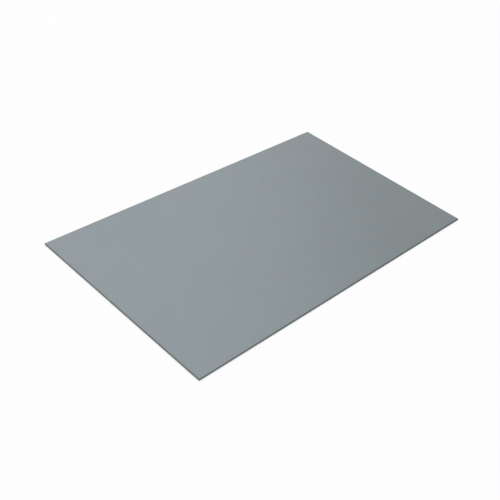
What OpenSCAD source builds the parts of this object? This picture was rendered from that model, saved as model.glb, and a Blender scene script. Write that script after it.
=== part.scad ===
// Flat galvanized steel sheet, cut to size on all four sides with a guillotine.
// It lies flat: the underside is on z = 0 and its middle is at the origin.
// X runs along the length, Y along the width and Z up through the thickness.

/* [Sheet] */
// Length of the sheet, measured at the lands of its cut edges
sheet_length = 500; // [200:10:1000]
// Width of the sheet, measured at the lands of its cut edges
sheet_width = 300; // [100:10:600]
// Thickness of the steel with its zinc coating
sheet_thickness = 2.5; // [1.6:0.1:3]

/* [Cut edges] */
// How far the blade draws the top face down at the cut
rollover_drop = 0.2; // [0.1:0.05:0.4]
// How far in from the cut the top face begins to curve down
rollover_reach = 0.6; // [0.4:0.05:1]
// Height of the smooth upright land that the blade shears under the rollover
land_height = 0.85; // [0.3:0.05:1.1]
// Gap between the blades, which is how far the torn foot of the edge slopes back under the land
blade_gap = 0.15; // [0.05:0.05:0.3]

/* [Hidden] */
zinc_grey = [0.57, 0.60, 0.62];
// Number of flats along the arc of a rollover
rollover_flats = 6;

// The rollover is an arc that leaves the top face without a kink, so its drop and reach give its radius
rollover_radius = (pow(rollover_reach, 2) + pow(rollover_drop, 2)) / (2 * rollover_drop);
rollover_angle = asin(rollover_reach / rollover_radius);

// The arc of a rollover, from the top face out to the land, as points beside the cut at x = 0
function rollover_arc() = [
    for (flat = [0 : rollover_flats])
        let (angle = rollover_angle * flat / rollover_flats)
        [rollover_radius * sin(angle) - rollover_reach,
         sheet_thickness - rollover_radius * (1 - cos(angle))]
];

// A whole cut edge, from the top face down over rollover, land and torn foot to the underside
function cut_edge() = concat(
    rollover_arc(),
    [[0, sheet_thickness - rollover_drop - land_height],
     [-blade_gap, 0]]
);

function moved_out(points, distance) = [for (point = points) [point.x + distance, point.y]];

function mirrored_back(points) = [
    for (index = [len(points) - 1 : -1 : 0])
        [-points[index].x, points[index].y]
];

// Section through the sheet between two opposite cuts, with the thickness along y
module section(span) {
    edge = moved_out(cut_edge(), span / 2);
    polygon(concat(edge, mirrored_back(edge)));
}

// A flat bar of that section, span wide across X and run long along Y, lying on z = 0
module cut_bar(span, run) {
    rotate([90, 0, 0])
        linear_extrude(height = run, center = true)
            section(span);
}

// What both pairs of cuts leave: every edge has the same section and the corners stay square
module sheet() {
    color(zinc_grey)
        intersection() {
            cut_bar(sheet_length, sheet_width);
            rotate([0, 0, 90])
                cut_bar(sheet_width, sheet_length);
        }
}

sheet();
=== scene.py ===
import math

import bpy
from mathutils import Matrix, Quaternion, Vector


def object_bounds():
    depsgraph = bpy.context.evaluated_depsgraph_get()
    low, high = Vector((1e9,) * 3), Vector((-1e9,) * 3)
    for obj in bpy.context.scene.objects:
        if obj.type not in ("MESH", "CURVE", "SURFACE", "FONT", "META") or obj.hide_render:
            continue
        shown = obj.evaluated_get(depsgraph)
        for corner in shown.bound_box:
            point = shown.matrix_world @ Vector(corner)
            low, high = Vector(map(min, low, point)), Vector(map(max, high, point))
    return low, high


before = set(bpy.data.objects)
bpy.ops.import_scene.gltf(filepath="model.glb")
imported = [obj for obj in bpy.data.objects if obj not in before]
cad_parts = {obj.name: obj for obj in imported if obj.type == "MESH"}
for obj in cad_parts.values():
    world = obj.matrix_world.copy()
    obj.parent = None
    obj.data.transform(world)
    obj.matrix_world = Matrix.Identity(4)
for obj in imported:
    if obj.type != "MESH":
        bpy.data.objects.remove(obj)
cad_low, cad_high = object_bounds()

# A flat sheet of galvanized steel that lies on a white studio floor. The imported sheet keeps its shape,
# and this script gives it its zinc, its cut edges, the floor, the light and the camera. Lengths are in
# metres, except in the patterns of the material, which are worked out in millimetres.

MILLIMETRE = 0.001

# The sheet lies level round the origin, with its top face at its thickness above the floor.
SHEET_MIDDLE = Vector(((cad_low.x + cad_high.x) / 2, (cad_low.y + cad_high.y) / 2, cad_low.z))
HALF_LENGTH = cad_high.x / MILLIMETRE
HALF_WIDTH = cad_high.y / MILLIMETRE
THICKNESS = cad_high.z / MILLIMETRE


# ---------------------------------------------------------------- shader maths


class Value:
    """A number or vector that a node works out. Its operators add Math nodes, and are for numbers."""

    def __init__(self, tree, socket):
        self.tree = tree
        self.socket = socket

    def __add__(self, other):
        return self.tree.maths("ADD", self, other)

    __radd__ = __add__

    def __sub__(self, other):
        return self.tree.maths("SUBTRACT", self, other)

    def __rsub__(self, other):
        return self.tree.maths("SUBTRACT", other, self)

    def __mul__(self, other):
        return self.tree.maths("MULTIPLY", self, other)

    __rmul__ = __mul__

    def __truediv__(self, other):
        return self.tree.maths("DIVIDE", self, other)

    def __gt__(self, other):
        return self.tree.maths("GREATER_THAN", self, other)

    def __lt__(self, other):
        return self.tree.maths("LESS_THAN", self, other)


class Tree:
    """The nodes of a material or of the world."""

    def __init__(self, owner):
        owner.use_nodes = True
        self.nodes = owner.node_tree.nodes
        self.links = owner.node_tree.links
        self.nodes.clear()

    def node(self, kind, settings=None, inputs=None):
        """Adds a node. Settings come first, because they decide its sockets.

        Inputs go by name or by number, and each is a Value or a constant.
        """
        made = self.nodes.new("ShaderNode" + kind)
        for name, setting in (settings or {}).items():
            setattr(made, name, setting)
        for key, value in (inputs or {}).items():
            if isinstance(value, Value):
                self.links.new(value.socket, made.inputs[key])
            else:
                made.inputs[key].default_value = value
        return made

    def value(self, kind, settings=None, inputs=None, output=0):
        """Adds a node and gives one of its outputs."""
        return Value(self, self.node(kind, settings, inputs).outputs[output])

    def maths(self, operation, *values):
        return self.value("Math", {"operation": operation}, dict(enumerate(values)))

    def vector_maths(self, operation, *vectors):
        return self.value("VectorMath", {"operation": operation}, dict(enumerate(vectors)))

    def length(self, vector):
        return self.value("VectorMath", {"operation": "LENGTH"}, {0: vector}, output="Value")

    def vector(self, x, y, z=0.0):
        return self.value("CombineXYZ", None, {0: x, 1: y, 2: z})

    def parts(self, vector):
        """The three numbers of a vector or a colour."""
        split = self.node("SeparateXYZ", None, {0: vector})
        return [Value(self, socket) for socket in split.outputs]

    def rise(self, value, low, high):
        """0 below low, 1 above high, and a smooth rise from one to the other."""
        return self.value(
            "MapRange",
            {"interpolation_type": "SMOOTHSTEP"},
            {"Value": value, "From Min": low, "From Max": high},
        )

    def noise(self, x, y, size, detail=2.0, roughness=0.5):
        """Smooth noise about 0, mostly within 0.3 of it. Its grains have a size along x and along y."""
        place = self.vector(x / size[0], y / size[1])
        settings = {"noise_dimensions": "2D"}
        inputs = {"Vector": place, "Scale": 1.0, "Detail": detail, "Roughness": roughness}
        return self.value("TexNoise", settings, inputs) - 0.5

    def cells(self, vector, size):
        """A node with Voronoi cells of about this size."""
        settings = {"voronoi_dimensions": "2D"}
        return self.node("TexVoronoi", settings, {"Vector": vector, "Scale": 1 / size})

    def colours(self, factor, first, second):
        """The first colour where the factor is 0, and the second where it is 1."""
        settings = {"data_type": "RGBA"}
        return self.value("Mix", settings, {0: factor, 6: first, 7: second}, output=2)

    def scaled(self, vector, factor):
        """A vector, or a colour, times a factor."""
        return self.value("VectorMath", {"operation": "SCALE"}, {0: vector, "Scale": factor})


def blended(patterns, weights, quantity):
    """The sum of the patterns that have a weight for one quantity, each times its weight."""
    weighted = [name for name in weights if quantity in weights[name]]
    return sum(patterns[name] * weights[name][quantity] for name in weighted)


# ---------------------------------------------------------------- spangle of the zinc

# The zinc freezes in small crystals with crinkled borders.
CRYSTAL_SIZE = 4.5
CRINKLE_SIZE = 0.9
CRINKLE_DEPTH = 0.9
BORDER_GROOVE = 0.035

# A crystal grows as six arms with straight branches at 60 degrees to them. Half the angle between two
# arms is a sector. The heart of a crystal is plain, and so are the crystals with the least gloss.
SECTOR = math.pi / 6
BRANCH_PITCH = 0.42
BRANCH_SLOPE = 1 / math.tan(math.pi / 3)
BRANCH_DEPTH = 0.5
ARM_WIDTH = 0.16
PLAIN_HEART = 0.5
RIPPLE_SIZE = 0.62
RIPPLE_DEPTH = 1.1
FROND_SHOWS = (0.2, 0.9)


def spangle(tree, x, y):
    """The crystals of the zinc. Each is a cell of a Voronoi pattern with crinkled borders.

    From the middle of each crystal six arms grow outwards, and from the arms go straight branches at
    60 degrees. So with u along the nearest arm and v away from it, each branch has one value of
    u - v / tan(60 degrees), and the branches are the waves of that value.
    """
    place = tree.vector(x, y)
    crinkle_inputs = {"Vector": place, "Scale": 1 / CRINKLE_SIZE}
    crinkle = tree.value("TexNoise", {"noise_dimensions": "2D"}, crinkle_inputs, output="Color")
    bent = tree.vector_maths("MULTIPLY_ADD", crinkle, (CRINKLE_DEPTH, CRINKLE_DEPTH, 0.0), place)
    crystals = tree.cells(bent, CRYSTAL_SIZE)
    tone, turn, gloss = tree.parts(Value(tree, crystals.outputs["Color"]))
    border = tree.value(
        "TexVoronoi",
        {"voronoi_dimensions": "2D", "feature": "DISTANCE_TO_EDGE"},
        {"Vector": bent, "Scale": 1 / CRYSTAL_SIZE},
    )

    outwards = tree.vector_maths("SUBTRACT", bent, Value(tree, crystals.outputs["Position"]))
    reach = tree.length(outwards)
    right, up, _ = tree.parts(outwards)
    angle = tree.maths("ARCTAN2", up, right) + turn * (2 * math.pi)
    from_arm = tree.maths("PINGPONG", angle, SECTOR)
    along_arm = reach * tree.maths("COSINE", from_arm)
    beside_arm = reach * tree.maths("SINE", from_arm)
    ripple = tree.noise(x, y, (RIPPLE_SIZE, RIPPLE_SIZE))
    wave = (along_arm - beside_arm * BRANCH_SLOPE) / BRANCH_PITCH + ripple * RIPPLE_DEPTH
    branches = tree.maths("SINE", wave * (2 * math.pi))
    arms = 1 - tree.rise(beside_arm, 0.0, ARM_WIDTH)
    grown = tree.rise(reach, 0.0, PLAIN_HEART) * tree.rise(gloss, *FROND_SHOWS)
    return {
        "tone": tone - 0.5,
        "gloss": gloss - 0.5,
        "turn": turn,
        "frond": (branches * BRANCH_DEPTH + arms) * grown,
        "groove": 1 - tree.rise(border, 0.0, BORDER_GROOVE),
    }


# ---------------------------------------------------------------- zinc on the two faces

ZINC_COOL = (0.2460, 0.2873, 0.2987, 1.0)
ZINC_WARM = (0.2550, 0.2883, 0.2928, 1.0)
ZINC_ROUGHNESS = 0.40
CRYSTAL_LEAN = 0.012

# The temper rolls leave long faint marks along X. Each size is length by width.
BROAD_MARK = (165.0, 2.9)
FINE_MARK = (33.0, 0.42)
CLOUD_SIZE = (90.0, 90.0)
MATT_GRAIN = (0.33, 0.33)

# The underside takes its patterns from this far away along Y, so that it isn't a copy of the top face.
UNDERSIDE_SHIFT = 700.0

# How far in from a cut the top face is smoother, where the blade has stretched the zinc, and darker with
# painted shade along the cut edges.
DRAWN_AND_SHADE_REACH = 1.2

# What each pattern adds to the zinc's brightness, to its roughness and to its height in millimetres.
ZINC_WEIGHTS = {
    "tone": {"brightness": 0.024},
    "gloss": {"roughness": 0.035},
    "frond": {"brightness": 0.05, "roughness": -0.05, "height": 0.0005},
    "groove": {"brightness": -0.012, "roughness": 0.05, "height": -0.0015},
    "broad marks": {"brightness": 0.02},
    "fine marks": {"brightness": 0.05, "height": 0.0012},
    "cloud": {"brightness": 0.05, "roughness": 0.08},
    "matt": {"roughness": 0.06, "height": 0.0012},
    # Painted shade darkens the top face along the cuts, and the zinc that the blade has drawn is smoother
    # there.
    "drawn_and_painted_shade": {"brightness": -0.45, "roughness": -0.10},
}


def zinc_face(tree, x, y, z, inwards):
    """The zinc on the two faces: small spangle under the faint marks of the temper rolls.

    The distance inwards is from the nearest cut. The tilt leans the normal, and each crystal has its own.
    """
    underside = z < THICKNESS / 2
    across = y + underside * UNDERSIDE_SHIFT
    patterns = spangle(tree, x, across)
    patterns["broad marks"] = tree.noise(x, across, BROAD_MARK, detail=3.0)
    patterns["fine marks"] = tree.noise(x, across, FINE_MARK)
    patterns["cloud"] = tree.noise(x, across, CLOUD_SIZE)
    patterns["matt"] = tree.noise(x, across, MATT_GRAIN)
    # Painted shade along the cuts, over the zinc that the blade has drawn smoother.
    patterns["drawn_and_painted_shade"] = (1 - underside) * (1 - tree.rise(inwards, 0.0, DRAWN_AND_SHADE_REACH))

    brightness = 1 + blended(patterns, ZINC_WEIGHTS, "brightness")
    colour = tree.scaled(tree.colours(patterns["gloss"] + 0.5, ZINC_COOL, ZINC_WARM), brightness)
    roughness = ZINC_ROUGHNESS + blended(patterns, ZINC_WEIGHTS, "roughness")
    height = blended(patterns, ZINC_WEIGHTS, "height")
    angle = patterns["turn"] * (2 * math.pi)
    lean = (patterns["tone"] + 0.5) * CRYSTAL_LEAN
    tilt = tree.vector(tree.maths("COSINE", angle) * lean, tree.maths("SINE", angle) * lean)
    return colour, roughness, height, tilt


# ---------------------------------------------------------------- bare steel on the cut edges

# Bare steel is darker than the zinc, and these greys are darker still with painted shade for the cut
# edges.
LAND_GREY = (0.100, 0.118, 0.124, 1.0)
LAND_ROUGHNESS = 0.36
LAND_METAL = 0.4
TORN_GREY = (0.059, 0.069, 0.072, 1.0)
TORN_ROUGHNESS = 0.66
TORN_METAL = 0.1

# The share of its brightness that the steel keeps in the deepest marks.
LEAST_BRIGHTNESS = 0.1

# Painted light on the cut edges: how much brighter the two ends are painted than the long sides, and how
# much brighter a long side is painted towards one of its ends.
END_PAINTED_LIGHT = 1.6
SIDE_PAINTED_LIGHT = 0.38

# Sizes of the marks on the edges, along the edge by up it.
STREAK = (0.17, 2.5)
WAVER = (1.25, 1000.0)
GRIT = (0.25, 0.25)
DRAG = (0.67, 5.0)
GRAIN_SIZE = 0.08
GLINT_SHARPNESS = 4.0

# What each pattern adds to the steel's brightness, to its roughness and to its height in millimetres.
STEEL_WEIGHTS = {
    "streaks": {"brightness": 1.8, "roughness": 0.15, "height": 0.012},
    "grit": {"brightness": 1.1, "height": 0.12},
    # The glints are painted highlights: bright grains in the colour of the torn foot, which are also
    # smoother.
    "glints": {"brightness": 1.3, "roughness": -0.2},
}

# From the top face down, a cut edge is rollover, land and torn foot. The foot begins at a ragged line.
ROLLOVER_DROP = 0.2
LAND_HEIGHT = 0.85
FOOT_TOP = THICKNESS - ROLLOVER_DROP - LAND_HEIGHT
FOOT_BLEND = 0.06
WAVER_DEPTH = 0.3
GRIT_DEPTH = 0.15

# How far down the rollover the zinc ends, how much the blade's drag varies that, the least that it can be,
# and from where to where the zinc thins out, as shares of that depth.
ZINC_END = 0.11
ZINC_END_VARIES = 2.2
ZINC_END_LEAST = 0.01
ZINC_THINS = (0.55, 1.45)

# Below this height there is the zinc of the underside again.
UNDERSIDE_SKIN = 0.01


def cut_edge(tree, x, y, z, end):
    """Bare steel where the blade went through: a burnished land with upright streaks over a torn foot.

    The two ends, where end is 1, are painted brighter than the long sides, as painted light. Each long
    side is also painted brighter towards one end, as a painted light gradient: the -Y side towards -X,
    and the +Y side towards +X.
    """
    along = x + y
    waver = tree.noise(along, z, WAVER, detail=3.0)
    grit = tree.noise(along, z, GRIT, detail=4.0, roughness=0.65)
    edge_of_foot = z + waver * WAVER_DEPTH + grit * GRIT_DEPTH
    land = tree.rise(edge_of_foot, FOOT_TOP - FOOT_BLEND, FOOT_TOP + FOOT_BLEND)
    torn = 1 - land
    grains = tree.cells(tree.vector(along, z), GRAIN_SIZE)
    shine, _, _ = tree.parts(Value(tree, grains.outputs["Color"]))
    patterns = {
        "streaks": tree.noise(along, z, STREAK, detail=4.0, roughness=0.6) * land,
        "grit": grit * torn,
        # Painted highlights: the brightest grains of the torn foot.
        "glints": tree.maths("POWER", shine, GLINT_SHARPNESS) * torn,
    }

    # Painted light: the ends are painted brighter than the long sides, and each long side is painted
    # brighter towards one end.
    side_painted_light = x * tree.maths("SIGN", y) * (SIDE_PAINTED_LIGHT / HALF_LENGTH)
    edge_painted_light = 1 + side_painted_light + end * (END_PAINTED_LIGHT - 1 - side_painted_light)
    brightness = 1 + blended(patterns, STEEL_WEIGHTS, "brightness")
    brightness = tree.maths("MAXIMUM", brightness, LEAST_BRIGHTNESS)
    colour = tree.scaled(tree.colours(torn, LAND_GREY, TORN_GREY), brightness * edge_painted_light)
    roughness = LAND_ROUGHNESS + torn * (TORN_ROUGHNESS - LAND_ROUGHNESS)
    roughness = roughness + blended(patterns, STEEL_WEIGHTS, "roughness")
    height = blended(patterns, STEEL_WEIGHTS, "height")
    metal = LAND_METAL + torn * (TORN_METAL - LAND_METAL)
    return colour, roughness, height, metal


def galvanized_steel():
    """One material for the whole sheet, because zinc and bare steel meet on the same solid."""
    material = bpy.data.materials.new("galvanized_steel")
    tree = Tree(material)
    place = tree.value("TexCoord", output="Object")
    x, y, z = tree.parts(tree.scaled(place, 1 / MILLIMETRE))

    from_end = HALF_LENGTH - tree.maths("ABSOLUTE", x)
    from_side = HALF_WIDTH - tree.maths("ABSOLUTE", y)
    inwards = tree.maths("MINIMUM", from_end, from_side)
    end = from_end < from_side

    zinc_colour, zinc_roughness, zinc_height, tilt = zinc_face(tree, x, y, z, inwards)
    steel_colour, steel_roughness, steel_height, steel_metal = cut_edge(tree, x, y, z, end)

    # The blade drags the zinc down over the rollover, further in some places than in others.
    drag = tree.noise(x + y, z, DRAG, detail=3.0)
    zinc_end = tree.maths("MAXIMUM", (1 + drag * ZINC_END_VARIES) * ZINC_END, ZINC_END_LEAST)
    bare = tree.rise(THICKNESS - z, zinc_end * ZINC_THINS[0], zinc_end * ZINC_THINS[1])
    cut = bare * (z > UNDERSIDE_SKIN)

    colour = tree.colours(cut, zinc_colour, steel_colour)
    roughness = zinc_roughness + (steel_roughness - zinc_roughness) * cut
    height = zinc_height * (1 - cut) + steel_height * cut

    facing = tree.value("NewGeometry", output="Normal")
    leaning = tree.vector_maths("ADD", facing, tree.scaled(tilt, 1 - cut))
    leaning = tree.vector_maths("NORMALIZE", leaning)
    relief = {"Strength": 1.0, "Distance": MILLIMETRE, "Height": height, "Normal": leaning}
    # There is no clear layer over the metal, so only its metallic share shines.
    finish = {
        "Base Color": colour,
        "Metallic": 1 - cut * (1 - steel_metal),
        "Specular IOR Level": 0.0,
        "Roughness": roughness,
        "Normal": tree.value("Bump", None, relief),
    }
    tree.node("OutputMaterial", None, {"Surface": tree.value("BsdfPrincipled", None, finish)})
    return material


# ---------------------------------------------------------------- studio

FLOOR_SIZE = 24.0
FLOOR_GAP = 0.00003
FLOOR_GREY = (0.95, 0.95, 0.95, 1.0)
BACKGROUND_WHITE = 0.99

# Right beside the sheet the floor shows its shadow most, a little of it further out, and none far away.
CONTACT_SHARE = 0.65
CONTACT_REACH = (0.0, 0.002)
SHADOW_SHARE = 0.12
SHADOW_REACH = (0.2, 1.3)

# The world's light, how white it is seen at floor level, and how far that dims towards the ceiling.
WORLD_LEVEL = 0.88
CEILING_LEVEL = 0.82
CEILING_RISE = (0.05, 0.35)

# The key light has a touch of magenta.
KEY_COLOUR = (1.0, 0.96, 1.06)
WHITE = (1.0, 1.0, 1.0)


def seen_white(tree):
    """1 for rays that show the background: to the camera, in a reflection or through glass."""
    path = tree.node("LightPath")
    camera = Value(tree, path.outputs["Is Camera Ray"])
    glossy = Value(tree, path.outputs["Is Glossy Ray"])
    through = Value(tree, path.outputs["Is Transmission Ray"])
    return tree.maths("MAXIMUM", tree.maths("MAXIMUM", camera, glossy), through)


def make_floor():
    """A plain white floor just under the sheet.

    The floor is matt, and it shows less shadow the further it is away from the sheet. The rest of what
    shows is its own white.
    """
    half = FLOOR_SIZE / 2
    level = cad_low.z - FLOOR_GAP
    corners = [(x * half, y * half, level) for x, y in ((-1, -1), (1, -1), (1, 1), (-1, 1))]
    mesh = bpy.data.meshes.new("studio_floor")
    mesh.from_pydata(corners, [], [(0, 1, 2, 3)])
    floor = bpy.data.objects.new("studio_floor", mesh)
    bpy.context.scene.collection.objects.link(floor)

    material = bpy.data.materials.new("studio_floor")
    tree = Tree(material)
    place = tree.value("TexCoord", output="Object")
    outline = (cad_high.x, cad_high.y, 0.0)
    beyond = tree.vector_maths("SUBTRACT", tree.vector_maths("ABSOLUTE", place), outline)
    away = tree.length(tree.vector_maths("MAXIMUM", beyond, (0.0, 0.0, 0.0)))
    contact = 1 - tree.rise(away, *CONTACT_REACH)
    shadow = 1 - tree.rise(away, *SHADOW_REACH)
    own_white = 1 - contact * CONTACT_SHARE - shadow * SHADOW_SHARE
    matt = tree.value("BsdfDiffuse", None, {"Color": FLOOR_GREY})
    glow = tree.value("Emission", None, {"Color": (*WHITE, 1.0), "Strength": BACKGROUND_WHITE})
    surface = tree.value("MixShader", None, {0: seen_white(tree) * own_white, 1: matt, 2: glow})
    tree.node("OutputMaterial", None, {"Surface": surface})
    mesh.materials.append(material)


def make_world():
    """Even light from all round. What is seen of it is white at floor level and dims further up."""
    world = bpy.data.worlds.new("studio")
    bpy.context.scene.world = world
    tree = Tree(world)
    _, _, height = tree.parts(tree.value("TexCoord", output="Generated"))
    shown = BACKGROUND_WHITE - tree.rise(height, *CEILING_RISE) * (BACKGROUND_WHITE - CEILING_LEVEL)
    strength = WORLD_LEVEL + seen_white(tree) * (shown - WORLD_LEVEL)
    background = tree.value("Background", None, {"Color": (*WHITE, 1.0), "Strength": strength})
    tree.node("OutputWorld", None, {"Surface": background})


def towards(heading, elevation):
    """The direction at a heading, in degrees from +Y towards +X, and an elevation above the floor."""
    heading = math.radians(heading)
    elevation = math.radians(elevation)
    level = math.cos(elevation)
    return Vector((math.sin(heading) * level, math.cos(heading) * level, math.sin(elevation)))


def softbox(name, heading, elevation, width, height, power, colour=WHITE, distance=2.4):
    """A large soft lamp that faces the middle of the sheet."""
    light = bpy.data.lights.new(name, "AREA")
    light.shape = "RECTANGLE"
    light.size = width
    light.size_y = height
    light.energy = power
    light.color = colour
    lamp = bpy.data.objects.new(name, light)
    direction = towards(heading, elevation)
    lamp.location = SHEET_MIDDLE + direction * distance
    lamp.rotation_mode = "QUATERNION"
    lamp.rotation_quaternion = direction.to_track_quat("Z", "Y")
    bpy.context.scene.collection.objects.link(lamp)


# ---------------------------------------------------------------- camera

# The lens is in millimetres, the angles in degrees, and the distance and the point aimed at in metres.
# Heading 0 looks along +Y and 90 along +X.
CAMERA_LENS = 58.25
CAMERA_HEADING = 48.53
CAMERA_DOWN = 37.82
CAMERA_ROLL = 7.25
CAMERA_DISTANCE = 1.0713
CAMERA_AIM = Vector((-0.0443, -0.0175, 0.0))
NEAREST_SEEN = 0.01


def make_camera():
    """The camera looks down on the sheet from over its near corner, with a slight roll."""
    data = bpy.data.cameras.new("camera")
    data.lens = CAMERA_LENS
    data.clip_start = NEAREST_SEEN
    camera = bpy.data.objects.new("camera", data)
    view = towards(CAMERA_HEADING, -CAMERA_DOWN)
    camera.location = SHEET_MIDDLE + CAMERA_AIM - view * CAMERA_DISTANCE
    camera.rotation_mode = "QUATERNION"
    roll = Quaternion((0.0, 0.0, 1.0), math.radians(CAMERA_ROLL))
    camera.rotation_quaternion = view.to_track_quat("-Z", "Y") @ roll
    bpy.context.scene.collection.objects.link(camera)
    bpy.context.scene.camera = camera


make_camera()
make_floor()
make_world()
softbox("key", heading=22, elevation=46, width=2.45, height=2.0, power=7.5, colour=KEY_COLOUR)
softbox("side", heading=280, elevation=30, width=1.6, height=1.2, power=3.0)
softbox("back", heading=150, elevation=32, width=1.8, height=1.2, power=3.0)
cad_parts["sheet"].material_slots[0].material = galvanized_steel()
bpy.context.scene.view_settings.view_transform = "Standard"
